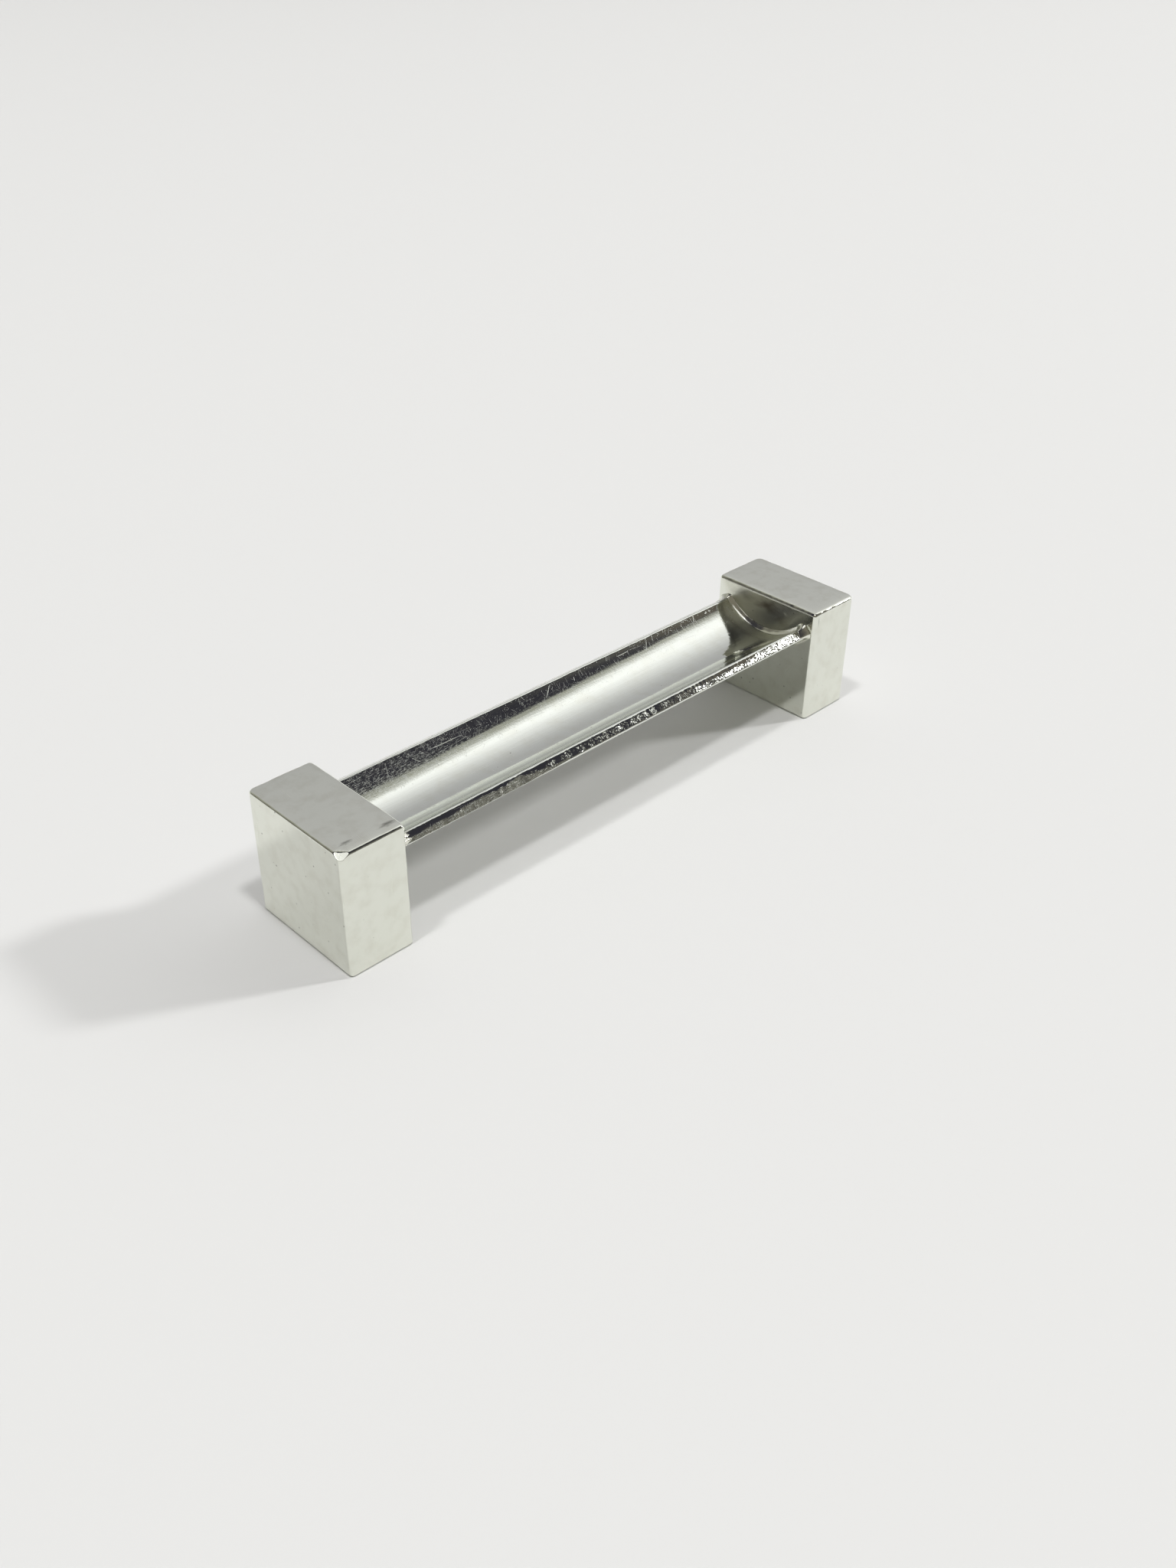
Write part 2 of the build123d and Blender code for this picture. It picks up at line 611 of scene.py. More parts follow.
    def draw_relief(self, tree: Tree, flat: Socket, rim: Socket) -> Socket:
        """Draws polishing lines and grain: ripples too shallow to see, which feather what metal mirrors.

        The height of a ripple is that of a sine wave of the same slope and spacing.

        Args:
            tree: node tree that gets the pattern.
            flat: pattern coordinates in millimetres.
            rim: mask of the filed rims.

        Returns:
            Output with the normal, over the file's marks.
        """
        heights = []
        for turn, size, slope in ((self.line_turn, (self.LINE_LENGTH, self.LINE_SPACING), self.line_slope),
                                  (0.0, (self.GRAIN, self.GRAIN), self.grain_slope)):
            ripples_at = add_node(tree, "ShaderNodeMapping", {
                "Vector": flat, "Rotation": (0.0, 0.0, math.radians(turn)),
                "Scale": (*size, 1.0)}, vector_type="TEXTURE")
            ripples = add_node(tree, "ShaderNodeTexNoise", {
                "Vector": ripples_at.outputs[0], "Scale": 1.0, "Detail": 2.0}, noise_dimensions="2D")
            swing = math.radians(slope) * min(size) / (2 * math.pi * self.NOISE_SWING) / 2
            heights.append(add_node(tree, "ShaderNodeMapRange", {
                "Value": ripples.outputs[0], "To Min": -swing, "To Max": swing}))
        polish = add_node(tree, "ShaderNodeMath", {
            0: heights[0].outputs[0], 1: heights[1].outputs[0]}, operation="ADD")
        return add_node(tree, "ShaderNodeBump", {
            "Height": polish.outputs[0], "Strength": 1.0, "Distance": MM,
            "Normal": self.draw_file_marks(tree, flat, rim)}).outputs[0]

    def draw_file_marks(self, tree: Tree, flat: Socket, rim: Socket) -> Socket:
        """Draws the file's marks: cells that each lean their own way, so some flash and others stay dark.

        Args:
            tree: node tree that gets the pattern.
            flat: pattern coordinates in millimetres.
            rim: mask of the filed rims.

        Returns:
            Output with the leaning normal.
        """
        marks_at = add_node(tree, "ShaderNodeMapping", {
            "Vector": flat, "Rotation": (0.0, 0.0, math.radians(self.FILE_TURN)),
            "Scale": (self.FILE_MARK, self.FILE_STROKE, 1.0)}, vector_type="TEXTURE")
        marks = add_node(tree, "ShaderNodeTexVoronoi", {
            "Vector": marks_at.outputs[0], "Scale": 1.0}, voronoi_dimensions="2D")
        lean = add_node(tree, "ShaderNodeVectorMath", {
            0: marks.outputs["Color"], 1: (0.5, 0.5, 0.5)}, operation="SUBTRACT")
        reach = add_node(tree, "ShaderNodeMath", {
            0: rim, 1: 2 * math.tan(math.radians(self.FILE_TILT))}, operation="MULTIPLY")
        upright = add_node(tree, "ShaderNodeNewGeometry").outputs["Normal"]
        leaning = add_node(tree, "ShaderNodeVectorMath", {
            0: lean.outputs[0], 1: reach.outputs[0], 2: upright}, operation="MULTIPLY_ADD")
        return add_node(tree, "ShaderNodeVectorMath", {
            0: leaning.outputs[0]}, operation="NORMALIZE").outputs[0]


@dataclass(frozen=True)
class HardSolder:
    """Hard solder under the plate, hardly buffed: a lumpy, half-blurred mirror that catches bright lines.

    Attributes:
        name: name of the material.
        colour: colour of the plated solder.
        roughness: blur in its hollows; its lumps are blurred more.
        lump: size of a lump.
        lump_height: how high the lumps are.
    """

    name: str = "hard_solder_plated_as_flowed"
    colour: str = "#e8e8dc"
    roughness: float = 0.11
    lump: float = 0.7
    lump_height: float = 0.006
    LUMP_RANGE = (0.3, 0.7)
    LUMP_BLUR = 0.08

    def build(self) -> bpy.types.Material:
        """Makes the material.

        Returns:
            A material that reads Object coordinates.
        """
        material, tree = new_material(self.name)
        place = add_node(tree, "ShaderNodeTexCoord").outputs["Object"]
        lumps = add_node(tree, "ShaderNodeTexNoise", {
            "Vector": place, "Scale": 1 / (self.lump * MM), "Detail": 2.0})
        relief = add_node(tree, "ShaderNodeBump", {
            "Height": lumps.outputs[0], "Strength": 1.0, "Distance": self.lump_height * MM})
        rough = add_node(tree, "ShaderNodeMapRange", {
            "Value": lumps.outputs[0], "From Min": self.LUMP_RANGE[0], "From Max": self.LUMP_RANGE[1],
            "To Min": self.roughness, "To Max": self.roughness + self.LUMP_BLUR})
        shader = add_node(tree, "ShaderNodeBsdfPrincipled", {
            "Base Color": linear(self.colour), "Metallic": 1.0, "Roughness": rough.outputs[0],
            "Normal": relief.outputs[0]})
        add_node(tree, "ShaderNodeOutputMaterial", {"Surface": shader.outputs[0]})
        return material


@dataclass(frozen=True)
class MattFloor:
    """Plain pale paint, rolled on: matt and almost white, so that it shows soft shadows.

    Attributes:
        name: name of the material.
        colour: colour of the paint.
    """

    name: str = "pale_paint_rolled_matt"
    colour: str = "#dddddc"

    def build(self) -> bpy.types.Material:
        """Makes the floor's material."""
        material, tree = new_material(self.name)
        shader = add_node(tree, "ShaderNodeBsdfPrincipled", {
            "Base Color": linear(self.colour), "Roughness": 1.0, "Specular IOR Level": 0.0})
        add_node(tree, "ShaderNodeOutputMaterial", {"Surface": shader.outputs[0]})
        return material


@dataclass(frozen=True)
class Knock:
    """A small flat that wear has left on an edge or a corner of a block.

    Attributes:
        face: direction that the flat faces; X is positive away from the trough.
        depth: how far it lies below the sharp edge or corner.
    """

    face: Triple
    depth: float


@dataclass
class EndBlock:
    """A length of rectangular bar that stands on its sawn end, with buffed faces and eased edges.

    Attributes:
        end: which end of the trough it holds.
        trough: the trough, whose hollow the buff can't reach into.
        top_radii: rounding of the top's edges: the outer, the back, the inner and the front one.
        roll_off: how far buffing has worn the top down along those four edges.
        knocks: the flats on its edges and corners.
        outer_upright_radii: rounding of the upright edges away from the trough: the front and the back one.
        inner_upright_radius: rounding of the two upright edges beside the trough.
        foot_radius: rounding of the foot's edges.
        pillow: how far buffing has drawn the faces in at their edges.
        ripple: how far the faces wander from flat.
    """

    end: End
    trough: "Trough"
    top_radii: Quad
    roll_off: Quad
    knocks: tuple[Knock, ...]
    outer_upright_radii: Pair = (0.85, 0.85)
    inner_upright_radius: float = 0.5
    foot_radius: float = 0.35
    pillow: float = 0.05
    ripple: float = 0.008

    # Hand work: how fast the roll-off dies away, and the waves of the top's edge and of the faces
    ROLL_LENGTH = 0.38
    EDGE_WAVES = ((3.1, 0.20), (1.2, 0.10))
    EDGE_WAVE_COUNT = 9
    EDGE_SEED = 41
    RIPPLE_LENGTH = 7.0
    RIPPLE_SEED = 11

    # Where buffing draws the faces in: above the foot, below the top and away from the middle of a flat end
    SIDE_RISE = (0.0, 2.0)
    TOP_DEPTH = 1.2
    SIDE_SHARE = (0.8, 0.95)

    # A knock's flat: the softness of its border, and how deep in the metal it still moves points
    KNOCK_SOFT = 0.015
    KNOCK_REACH = 0.3

    # Haze in the trough's hollow: depth behind the inner face, and distance from the trough's inner wall
    HAZE_DEPTH = (0.25, 0.05)
    HAZE_REACH = (0.5, -0.8)

    # Grid: the rows of the flat ends as shares of the outline, and the counts of samples
    FOOT_ROWS = (0.06, 0.4, 0.83, 0.96, 0.993)
    TOP_ROWS = (0.993, 0.98, 0.96, 0.93, 0.89, 0.83, 0.75, 0.65, 0.53, 0.4, 0.27, 0.15, 0.06)
    SIDE_COUNT = 60
    QUARTER_COUNT = 11
    ARC_COUNT = 14
    LONG_COUNT = 110
    SHORT_COUNT = 64
    CAP_UV = (200.0, 40.0)

    @property
    def node(self) -> str:
        """Name of the CAD node that the block stands for."""
        return f"{self.end.word}_end_block"

    def outline(self, half_x: float, half_y: float) -> tuple[np.ndarray, np.ndarray]:
        """Plan of the bar: four arcs and straight runs, counter-clockwise from the front corner at +X.

        Args:
            half_x: half of the bar's thickness.
            half_y: half of the bar's width.

        Returns:
            Points of the outline, and the unit normals that point out of it.
        """
        at_plus_x, at_minus_x = (self.inner_upright_radius,) * 2, self.outer_upright_radii
        if self.end is End.RIGHT:
            at_plus_x, at_minus_x = at_minus_x, at_plus_x
        radii = (*at_plus_x, *at_minus_x[::-1])
        signs = ((1, -1), (1, 1), (-1, 1), (-1, -1))
        turns = np.linspace(0.0, math.pi / 2, self.ARC_COUNT)
        arcs, arc_normals = [], []
        for corner, (radius, (sx, sy)) in enumerate(zip(radii, signs)):
            angle = turns + (corner - 1) * math.pi / 2
            normal = np.stack([np.cos(angle), np.sin(angle)], -1)
            arcs.append(np.array([sx * (half_x - radius), sy * (half_y - radius)]) + radius * normal)
            arc_normals.append(normal)
        points, normals = [], []
        for corner in range(4):
            start, stop = arcs[corner][-1], arcs[(corner + 1) % 4][0]
            count = self.LONG_COUNT if corner % 2 == 0 else self.SHORT_COUNT
            along = spread(0.0, 1.0, count)[1:-1, None]
            points += [arcs[corner], start + (stop - start) * along]
            normals += [arc_normals[corner], np.broadcast_to(arc_normals[corner][-1], (count - 2, 2))]
        return np.concatenate(points), np.concatenate(normals)

    def top_radius(self, normals: np.ndarray) -> np.ndarray:
        """Rounding of the top's edge at each outline point: each side's own, blended round the corners."""
        outward = normals * np.array([self.end.value, 1])
        return np.clip(np.concatenate([outward, -outward], -1), 0, 1) ** 2 @ np.array(self.top_radii)

    def surface(self) -> SurfaceGrid:
        """Works out the block's skin.

        Columns follow the plan's outline. Rows go from the middle of the foot outwards, round its eased
        edge, up the sides, round the top's eased edge and in to the middle of the top. An eased edge is a
        quarter circle that leaves the outline by its radius. The flat ends are the outline drawn in by a
        factor. Then the faces are drawn in at their edges by a fourth power, and rippled by sine waves.

        Returns:
            The closed surface.
        """
        low, high = box_mm(self.node)
        centre, half, height = (low + high) / 2, (high - low) / 2, high[2]
        plan, normals = self.outline(half[0], half[1])
        steps = np.linalg.norm(np.roll(plan, -1, 0) - plan, axis=1)
        perimeter = np.concatenate([[0.0], np.cumsum(steps)])
        waves = [Wave(length, self.EDGE_SEED + self.end.value, swing, self.EDGE_WAVE_COUNT)
                 for length, swing in self.EDGE_WAVES]
        uneven = sum(wave.at(perimeter[:-1], perimeter[-1]) for wave in waves)
        top_radius = self.top_radius(normals) * (1 + uneven)

        each_column = np.ones(len(plan))
        quarter = np.linspace(0.0, math.pi / 2, self.QUARTER_COUNT)[:, None]
        side_rows = spread(0.0, 1.0, self.SIDE_COUNT)[1:-1, None]
        foot_rows, top_rows = np.array(self.FOOT_ROWS)[:, None], np.array(self.TOP_ROWS)[:, None]
        on_foot, on_top = np.ones_like(foot_rows), np.ones_like(top_rows)
        inset = np.concatenate([
            on_foot * self.foot_radius * each_column,
            self.foot_radius * (1 - np.sin(quarter)) * each_column,
            0 * side_rows * each_column,
            top_radius * (1 - np.cos(quarter)),
            on_top * top_radius])
        level = np.concatenate([
            0 * on_foot * each_column,
            self.foot_radius * (1 - np.cos(quarter)) * each_column,
            self.foot_radius + side_rows * (height - top_radius - self.foot_radius),
            height - top_radius * (1 - np.sin(quarter)),
            on_top * height * each_column])
        first_side, last_side = len(foot_rows), len(level) - len(top_rows) - 1
        scale = np.concatenate([foot_rows, np.ones((last_side + 1 - first_side, 1)), top_rows])
        flat = (plan[None] - inset[..., None] * normals[None]) * scale[..., None]
        points = np.concatenate([flat + centre[:2], level[..., None]], -1)
        points = self.hand_finish(points, normals, centre, half)

        wrap = np.concatenate([points, points[:, :1]], 1)
        side_uv = np.stack([np.broadcast_to(perimeter, wrap.shape[:2]), wrap[..., 2]], -1)
        cap_uv = wrap[..., :2] + np.array(self.CAP_UV) * np.array([1, self.end.value])
        row = np.arange(len(level) - 1)[:, None, None, None]
        is_side = (row >= first_side) & (row < last_side)
        uv = np.where(is_side, *(np.stack([pattern[:-1], pattern[1:]], 1) for pattern in (side_uv, cap_uv)))
        poles = np.array([[centre[0], centre[1], 0.0], points[-1].mean(0)])
        from_axis = np.hypot(points[..., 1], points[..., 2] - self.trough.axis_z)
        behind = np.abs(points[..., 0]) - min(abs(low[0]), abs(high[0]))
        haze = ease(behind, *self.HAZE_DEPTH) * ease(from_axis - self.trough.inner_radius, *self.HAZE_REACH)
        return SurfaceGrid(points, uv, {HAZE_NAME: haze}, poles)

    def hand_finish(self, points: np.ndarray, normals: np.ndarray, centre: np.ndarray,
                    half: np.ndarray) -> np.ndarray:
        """Draws the faces in as buffing does, ripples them, and cuts the flats that knocks have left.

        Args:
            points: the exact block, rows by columns by 3.
            normals: outward normals of the plan, one for each column.
            centre: middle of the block.
            half: half of its size each way.

        Returns:
            The finished points, none of them outside the exact block.
        """
        share = (points - centre) / half
        across = np.where(np.abs(normals[:, 0]) > np.abs(normals[:, 1]), share[..., 1], share[..., 0])
        seed = self.RIPPLE_SEED + self.end.value
        waves = (Wave(self.RIPPLE_LENGTH + axis, seed + axis).at(points[..., axis]) for axis in range(3))
        rippled = self.ripple * (1 + sum(waves) / 3)
        drawn = ease(points[..., 2], *self.SIDE_RISE) * (
            self.pillow * (across ** 4 + np.clip(share[..., 2], -1, 1) ** 4) / 2 + rippled)
        outward = share[..., :2] * np.array([self.end.value, 1])
        room = np.concatenate([half[:2] * (1 - outward), half[:2] * (1 + outward)], -1)
        rolled = np.exp(-np.maximum(room, 0) / self.ROLL_LENGTH) @ np.array(self.roll_off)
        drawn_top = ease(points[..., 2], 2 * half[2] - self.TOP_DEPTH, 2 * half[2]) * (
            self.pillow * (share[..., 0] ** 4 + share[..., 1] ** 4) / 2 + rippled + rolled)
        reach = np.abs(share[..., :2]).max(-1)
        points = points.copy()
        points[..., :2] -= (drawn * ease(reach, *self.SIDE_SHARE))[..., None] * normals[None]
        points[..., 2] -= drawn_top
        for knock in self.knocks:
            away = np.array(knock.face) * np.array([self.end.value, 1, 1])
            away /= np.linalg.norm(away)
            corner = centre + half * np.sign(away)
            beyond = (points - corner) @ away + knock.depth
            cut = (beyond + np.hypot(beyond, self.KNOCK_SOFT)) / 2
            points -= np.where(beyond > -self.KNOCK_REACH, cut, 0.0)[..., None] * away
        return points

    def build(self, material: bpy.types.Material) -> bpy.types.Object:
        """Builds the block and dresses it.

        Args:
            material: the plate's finish.

        Returns:
            The block's object.
        """
        piece = self.surface().to_object(f"{self.end.word}_block_buffed")
        put_in_frame(piece, self.node, material)
        return piece


@dataclass
class Trough:
    """Sheet rolled to an arc, open side up, with both long rims filed to a slope by hand.

    Attributes:
        half_angle: how far the arc rises to each side.
        side_margin: how far the rims stay inside the blocks' sides.
        floor_drop: how far the floor lies below the blocks' tops.
        wall: thickness of the sheet.
        outer_edge: rounding of the rims' outer edges.
        inner_edge: rounding of the rims' inner edges.
        back_slope: slope of the back rim.
        front_slope: slope of the front rim, near the left block and near the right one.
        front_turn: where along the trough the front rim's slope changes.
        front_rise: how much steeper the front rim is beside the right block.
        front_end: where along the trough that begins and where it is full.
        front_hump: how much steeper the front rim is right of the trough's middle.
        hump_place: where that begins, is full, is full no more and ends.
        second_slope: slope of a steeper facet along the front rim's outer edge, near the left block.
        second_facet: depth of that facet.
        second_start: where along the trough it begins and where it has its depth.
        wide_facet: how much deeper it is where it takes the rim's whole width.
        wide_place: where that begins, is full, is full no more and ends.
        worn_across: distance from the floor's middle over which the wear of the back wall grows.
        worn_along: places along the trough over which it grows.
        node: CAD node that the trough stands for.
    """

    half_angle: float = 49.3
    side_margin: float = 0.77
    floor_drop: float = 5.1
    wall: float = 1.4
    outer_edge: float = 0.22
    inner_edge: float = 0.28
    back_slope: float = 30.0
    front_slope: Pair = (37.5, 43.5)
    front_turn: Pair = (7.5, 21.0)
    front_rise: float = 2.0
    front_end: Pair = (22.5, 27.0)
    front_hump: float = 1.8
    hump_place: Quad = (3.0, 5.5, 9.5, 13.0)
    second_slope: float = 51.0
    second_facet: float = 0.08
    second_start: Pair = (-8.0, -13.5)
    wide_facet: float = 0.08
    wide_place: Quad = (-30.0, -21.0, -15.8, -13.0)
    worn_across: Pair = (2.5, 4.0)
    worn_along: Pair = (-6.0, -26.0)
    node: str = "trough"

    # Unevenness along the trough: of the rims' slopes, of their edges' rounding and of the second facet
    FRONT_WAVES = (Wave(9.0, 5), Wave(2.6, 6, 0.8, 9), Wave(0.8, 12, 0.4, 9))
    BACK_WAVES = (Wave(11.0, 7), Wave(1.8, 8, 0.8, 9))
    FRONT_EDGE_WAVES = (Wave(2.3, 9, 0.15), Wave(0.7, 15, 0.10, 9))
    BACK_EDGE_WAVES = (Wave(3.1, 10, 0.10),)
    FACET_WAVES = (Wave(4.0, 13, 0.3), Wave(0.9, 14, 0.2, 9))
    FACET_SOFT = 0.01

    # Smooth share of the rims: left of the right end, less of it in the middle, and its waves and border
    SMOOTH_SHARE = 0.4
    SMOOTH_END = (25.0, 20.0)
    SMOOTH_LESS = 0.25
    SMOOTH_MIDDLE = (-13.0, -8.0, 8.0, 13.0)
    SMOOTH_WAVES = (Wave(2.2, 16, 0.15), Wave(0.6, 17, 0.12, 9))
    SMOOTH_BORDER = (0.08, -0.08)

    # File marks of the front rim: in patches, fewer at the far left and on the hump, and even past its turn
    PATCH_SHARE = 0.42
    PATCH_WAVES = (Wave(1.6, 18, 0.5, 7),)
    PATCH_RANGE = (0.20, 0.90)
    PATCH_LEFT_LESS = 0.3
    PATCH_LEFT_END = (-11.0, -20.0)
    PATCH_HUMP_LESS = 0.3
    EVEN_SHARE = 0.55

    # Wander of the rolled wall: its depth, its lean along the trough, and its waves across and along
    DENT = 0.012
    DENT_LEAN = 0.12
    DENT_ACROSS = Wave(6.0, 21)
    DENT_ALONG = Wave(22.0, 22)

    # Inner side of the sheet: it fades in from this far off the outer radius to this far off the inner one
    INSIDE = (-0.5, 0.1)

    # Haze at the ends: its reach from the left end, and from the right one, where it is longer low down
    LEFT_HAZE = (2.2, 0.4)
    RIGHT_HAZE = 2.2
    RIGHT_HAZE_MORE = 1.4
    RIGHT_HAZE_ACROSS = (4.8, 3.6)
    RIGHT_HAZE_FADE = (0.0, 2.0)

    # Wear of the back wall: all along, more to the left and most at the left end; and of the second facet
    WORN_SHARES = (0.15, 0.15, 0.70)
    WORN_MIDDLE = (12.0, 2.0)
    WORN_FACET = (-9.0, -13.5)

    # Grid: counts of samples along the trough and over each part of half a section
    LENGTH_COUNT = 560
    OUTER_COUNT = 12
    EDGE_COUNT = 11
    RIM_COUNT = 10
    INNER_COUNT = 34

    def __post_init__(self) -> None:
        """Works out the arcs from the frame's boxes."""
        corner = box_mm("left_end_block")[1]
        self.outer_radius = (corner[1] - self.side_margin) / math.sin(math.radians(self.half_angle))
        self.inner_radius = self.outer_radius - self.wall
        self.axis_z = corner[2] - self.floor_drop + self.inner_radius

    def half_section(self, slope: np.ndarray, uneven: np.ndarray, facet: np.ndarray,
                     smooth: np.ndarray) -> tuple[np.ndarray, np.ndarray, np.ndarray, np.ndarray]:
        """Half of the sheet's section, from the middle of the underside over the rim to the floor's middle.

        The outer and inner walls are circles about the trough's axis. The rim is a straight line that
        starts on the outer circle at the half angle and rises inwards by its slope. A rim edge is a
        circle that touches the rim line and a wall, so its centre is where the rim line, moved into the
        metal by the radius, meets the wall's circle, made smaller or larger by the radius. The second
        facet moves what lies beyond its line straight back to it, with a soft change at its edges.

        Args:
            slope: slope of the rim at each place along the trough.
            uneven: factor on the rounding of the rim's edges at each place along the trough.
            facet: depth of the second facet at each place along the trough.
            smooth: share of the rim's width that is smooth, beside its inner edge, at each place.

        Returns:
            Points (places by samples by 2, as Y and Z), nominal arc lengths from the floor's middle, the
            share of the file's marks, and the share of the second facet (both places by samples).
        """
        tilt, rise = np.radians(slope)[:, None], math.radians(self.half_angle)
        outer_r, inner_r = self.outer_edge * uneven[:, None], self.inner_edge * uneven[:, None]
        inward = np.stack([-np.cos(tilt), np.sin(tilt)], -1)
        into_metal = np.stack([-np.sin(tilt), -np.cos(tilt)], -1)
        start = self.outer_radius * np.array([math.sin(rise), -math.cos(rise)])
        walls = ((outer_r, self.outer_radius - outer_r), (inner_r, self.inner_radius + inner_r))
        centres = []
        for edge, wall_radius in walls:
            moved = start + edge[..., None] * into_metal
            along = (moved * inward).sum(-1)
            step = -along - np.sqrt(along ** 2 - (moved ** 2).sum(-1) + wall_radius ** 2)
            centres.append(moved + step[..., None] * inward)
        outer_centre, inner_centre = centres
        outer_rise, inner_rise = (np.arctan2(centre[..., 0], -centre[..., 1]) for centre in centres)

        def arc(centre: np.ndarray | float, size: np.ndarray | float, angle: np.ndarray) -> np.ndarray:
            """Points of a circle at angles from straight down."""
            return centre + np.asarray(size)[..., None] * np.stack([np.sin(angle), -np.cos(angle)], -1)

        share = np.linspace(0.0, 1.0, self.EDGE_COUNT)
        rim_share = np.linspace(0.0, 1.0, self.RIM_COUNT)[1:-1, None]
        outer_wall = arc(0.0, self.outer_radius, outer_rise * np.linspace(0.0, 1.0, self.OUTER_COUNT)[:-1])
        outer_edge = arc(outer_centre, outer_r, outer_rise + (math.pi - tilt - outer_rise) * share)
        inner_edge = arc(inner_centre, inner_r, math.pi - tilt + (inner_rise + tilt) * share)
        rim = outer_edge[:, -1:] + (inner_edge[:, :1] - outer_edge[:, -1:]) * rim_share
        inner_wall = arc(0.0, self.inner_radius, inner_rise * np.linspace(1.0, 0.0, self.INNER_COUNT)[1:])
        points = np.concatenate([outer_wall, outer_edge, rim, inner_edge, inner_wall], 1)
        steep = math.radians(self.second_slope)
        facing = np.array([math.sin(steep), math.cos(steep)])
        beyond = (points - outer_centre) @ facing - outer_r + facet[:, None]
        back_by = (np.hypot(beyond, self.FACET_SOFT) + beyond) / 2
        points = points - back_by[..., None] * facing + np.array([0.0, self.axis_z])
        faceted = ease(beyond, -self.FACET_SOFT, self.FACET_SOFT)

        middle = points[len(points) // 2]
        steps = np.linalg.norm(np.diff(middle, axis=0), axis=1)
        length = np.concatenate([np.cumsum(steps[::-1])[::-1], [0.0]])
        filed = np.zeros(points.shape[:2])
        edge_at = outer_wall.shape[1]
        rim_at = edge_at + len(share)
        filed[:, edge_at:rim_at] = share ** 2
        filed[:, rim_at:rim_at + len(rim_share)] = ease(
            rim_share[:, 0] - 1 + smooth[:, None], *self.SMOOTH_BORDER)
        return points, length, filed, faceted

    def section(self, x: np.ndarray) -> tuple[np.ndarray, np.ndarray, np.ndarray, np.ndarray]:
        """Whole section of the sheet at each place along the trough, with the hand-filed rims.

        Args:
            x: places along the trough.

        Returns:
            Points (places by samples by 2), pattern coordinate of each sample, the share of the file's
            marks, and the share of the second facet.
        """
        turn, hump = ease(x, *self.front_turn), between(x, *self.hump_place)
        near_left, near_right = self.front_slope
        front = near_left + (near_right - near_left) * turn + self.front_rise * ease(x, *self.front_end)
        front = front + self.front_hump * hump + add_waves(x, self.FRONT_WAVES)
        back = self.back_slope + add_waves(x, self.BACK_WAVES)
        facet = self.second_facet * ease(x, *self.second_start)
        facet = facet + self.wide_facet * between(x, *self.wide_place)
        facet = facet * (1 + add_waves(x, self.FACET_WAVES))
        smooth = self.SMOOTH_SHARE * ease(x, *self.SMOOTH_END)
        smooth = smooth - self.SMOOTH_LESS * between(x, *self.SMOOTH_MIDDLE)
        smooth = smooth + add_waves(x, self.SMOOTH_WAVES)
        back_points, back_length, back_filed, _ = self.half_section(
            back, 1 + add_waves(x, self.BACK_EDGE_WAVES), np.zeros_like(x), smooth)
        front_half = self.half_section(front, 1 + add_waves(x, self.FRONT_EDGE_WAVES), facet, smooth)
        front_length = front_half[1]
        front_points, front_filed, front_faceted = (front_half[i][:, ::-1][:, 1:-1] for i in (0, 2, 3))

        patch = np.clip(self.PATCH_SHARE + add_waves(x, self.PATCH_WAVES), *self.PATCH_RANGE)
        patch = patch * (1 - self.PATCH_LEFT_LESS * ease(x, *self.PATCH_LEFT_END))
        patch = patch * (1 - self.PATCH_HUMP_LESS * hump)
        marked = (patch + (self.EVEN_SHARE - patch) * turn)[:, None]
        points = np.concatenate([back_points, front_points * np.array([-1.0, 1.0])], 1)
        coordinate = np.concatenate([back_length, -front_length[::-1][1:]])
        filed = np.concatenate([back_filed, marked * front_filed], 1)
        return points, coordinate, filed, np.concatenate([np.zeros_like(back_filed), front_faceted], 1)

    def surface(self) -> SurfaceGrid:
        """Carries the section along X, with a slow wander of the rolled wall.

        Returns:
            The closed surface of the sheet.
        """
        low, high = box_mm(self.node)
        x = np.linspace(low[0], high[0], self.LENGTH_COUNT)
        yz, coordinate, filed, faceted = self.section(x)
        from_axis = yz - np.array([0.0, self.axis_z])
        angle = np.arctan2(from_axis[..., 0], -from_axis[..., 1])
        inside = ease(np.linalg.norm(from_axis, axis=-1), self.outer_radius + self.INSIDE[0],
                      self.inner_radius + self.INSIDE[1])
        leaning = angle * self.inner_radius + self.DENT_LEAN * x[:, None]
        dent = self.DENT * self.DENT_ACROSS.at(leaning) * self.DENT_ALONG.at(x)[:, None]
        yz = yz - (dent * inside)[..., None] * np.stack([np.sin(angle), -np.cos(angle)], -1)
        points = np.concatenate([np.broadcast_to(x[:, None, None], (*yz.shape[:2], 1)), yz], -1)
        uv = np.stack(np.broadcast_arrays(x[:, None], coordinate), -1)

        across = coordinate[:-1]
        from_right = self.RIGHT_HAZE + self.RIGHT_HAZE_MORE * ease(across, *self.RIGHT_HAZE_ACROSS)
        left_haze = ease(x - low[0], *self.LEFT_HAZE)[:, None]
        right_haze = ease(x[:, None] - (high[0] - from_right), *self.RIGHT_HAZE_FADE)
        everywhere, more, most = self.WORN_SHARES
        worn = everywhere + more * ease(x, *self.WORN_MIDDLE) + most * ease(x, *self.worn_along)
        wear = inside * ease(across, *self.worn_across) * worn[:, None]
        wear = np.maximum(wear, faceted * ease(x, *self.WORN_FACET)[:, None])
        masks = {RIM_NAME: filed, HAZE_NAME: inside * (left_haze + right_haze), WEAR_NAME: wear}
        return SurfaceGrid(points, np.stack([uv[:-1], uv[1:]], 1), masks, flat_ends=True)

    def build(self, material: bpy.types.Material) -> bpy.types.Object:
        """Builds the trough and dresses it.

        Args:
            material: the plate's finish.

        Returns:
            The trough's object.
        """
        piece = self.surface().to_object("trough_rolled_and_filed")
        put_in_frame(piece, self.node, material)
        return piece


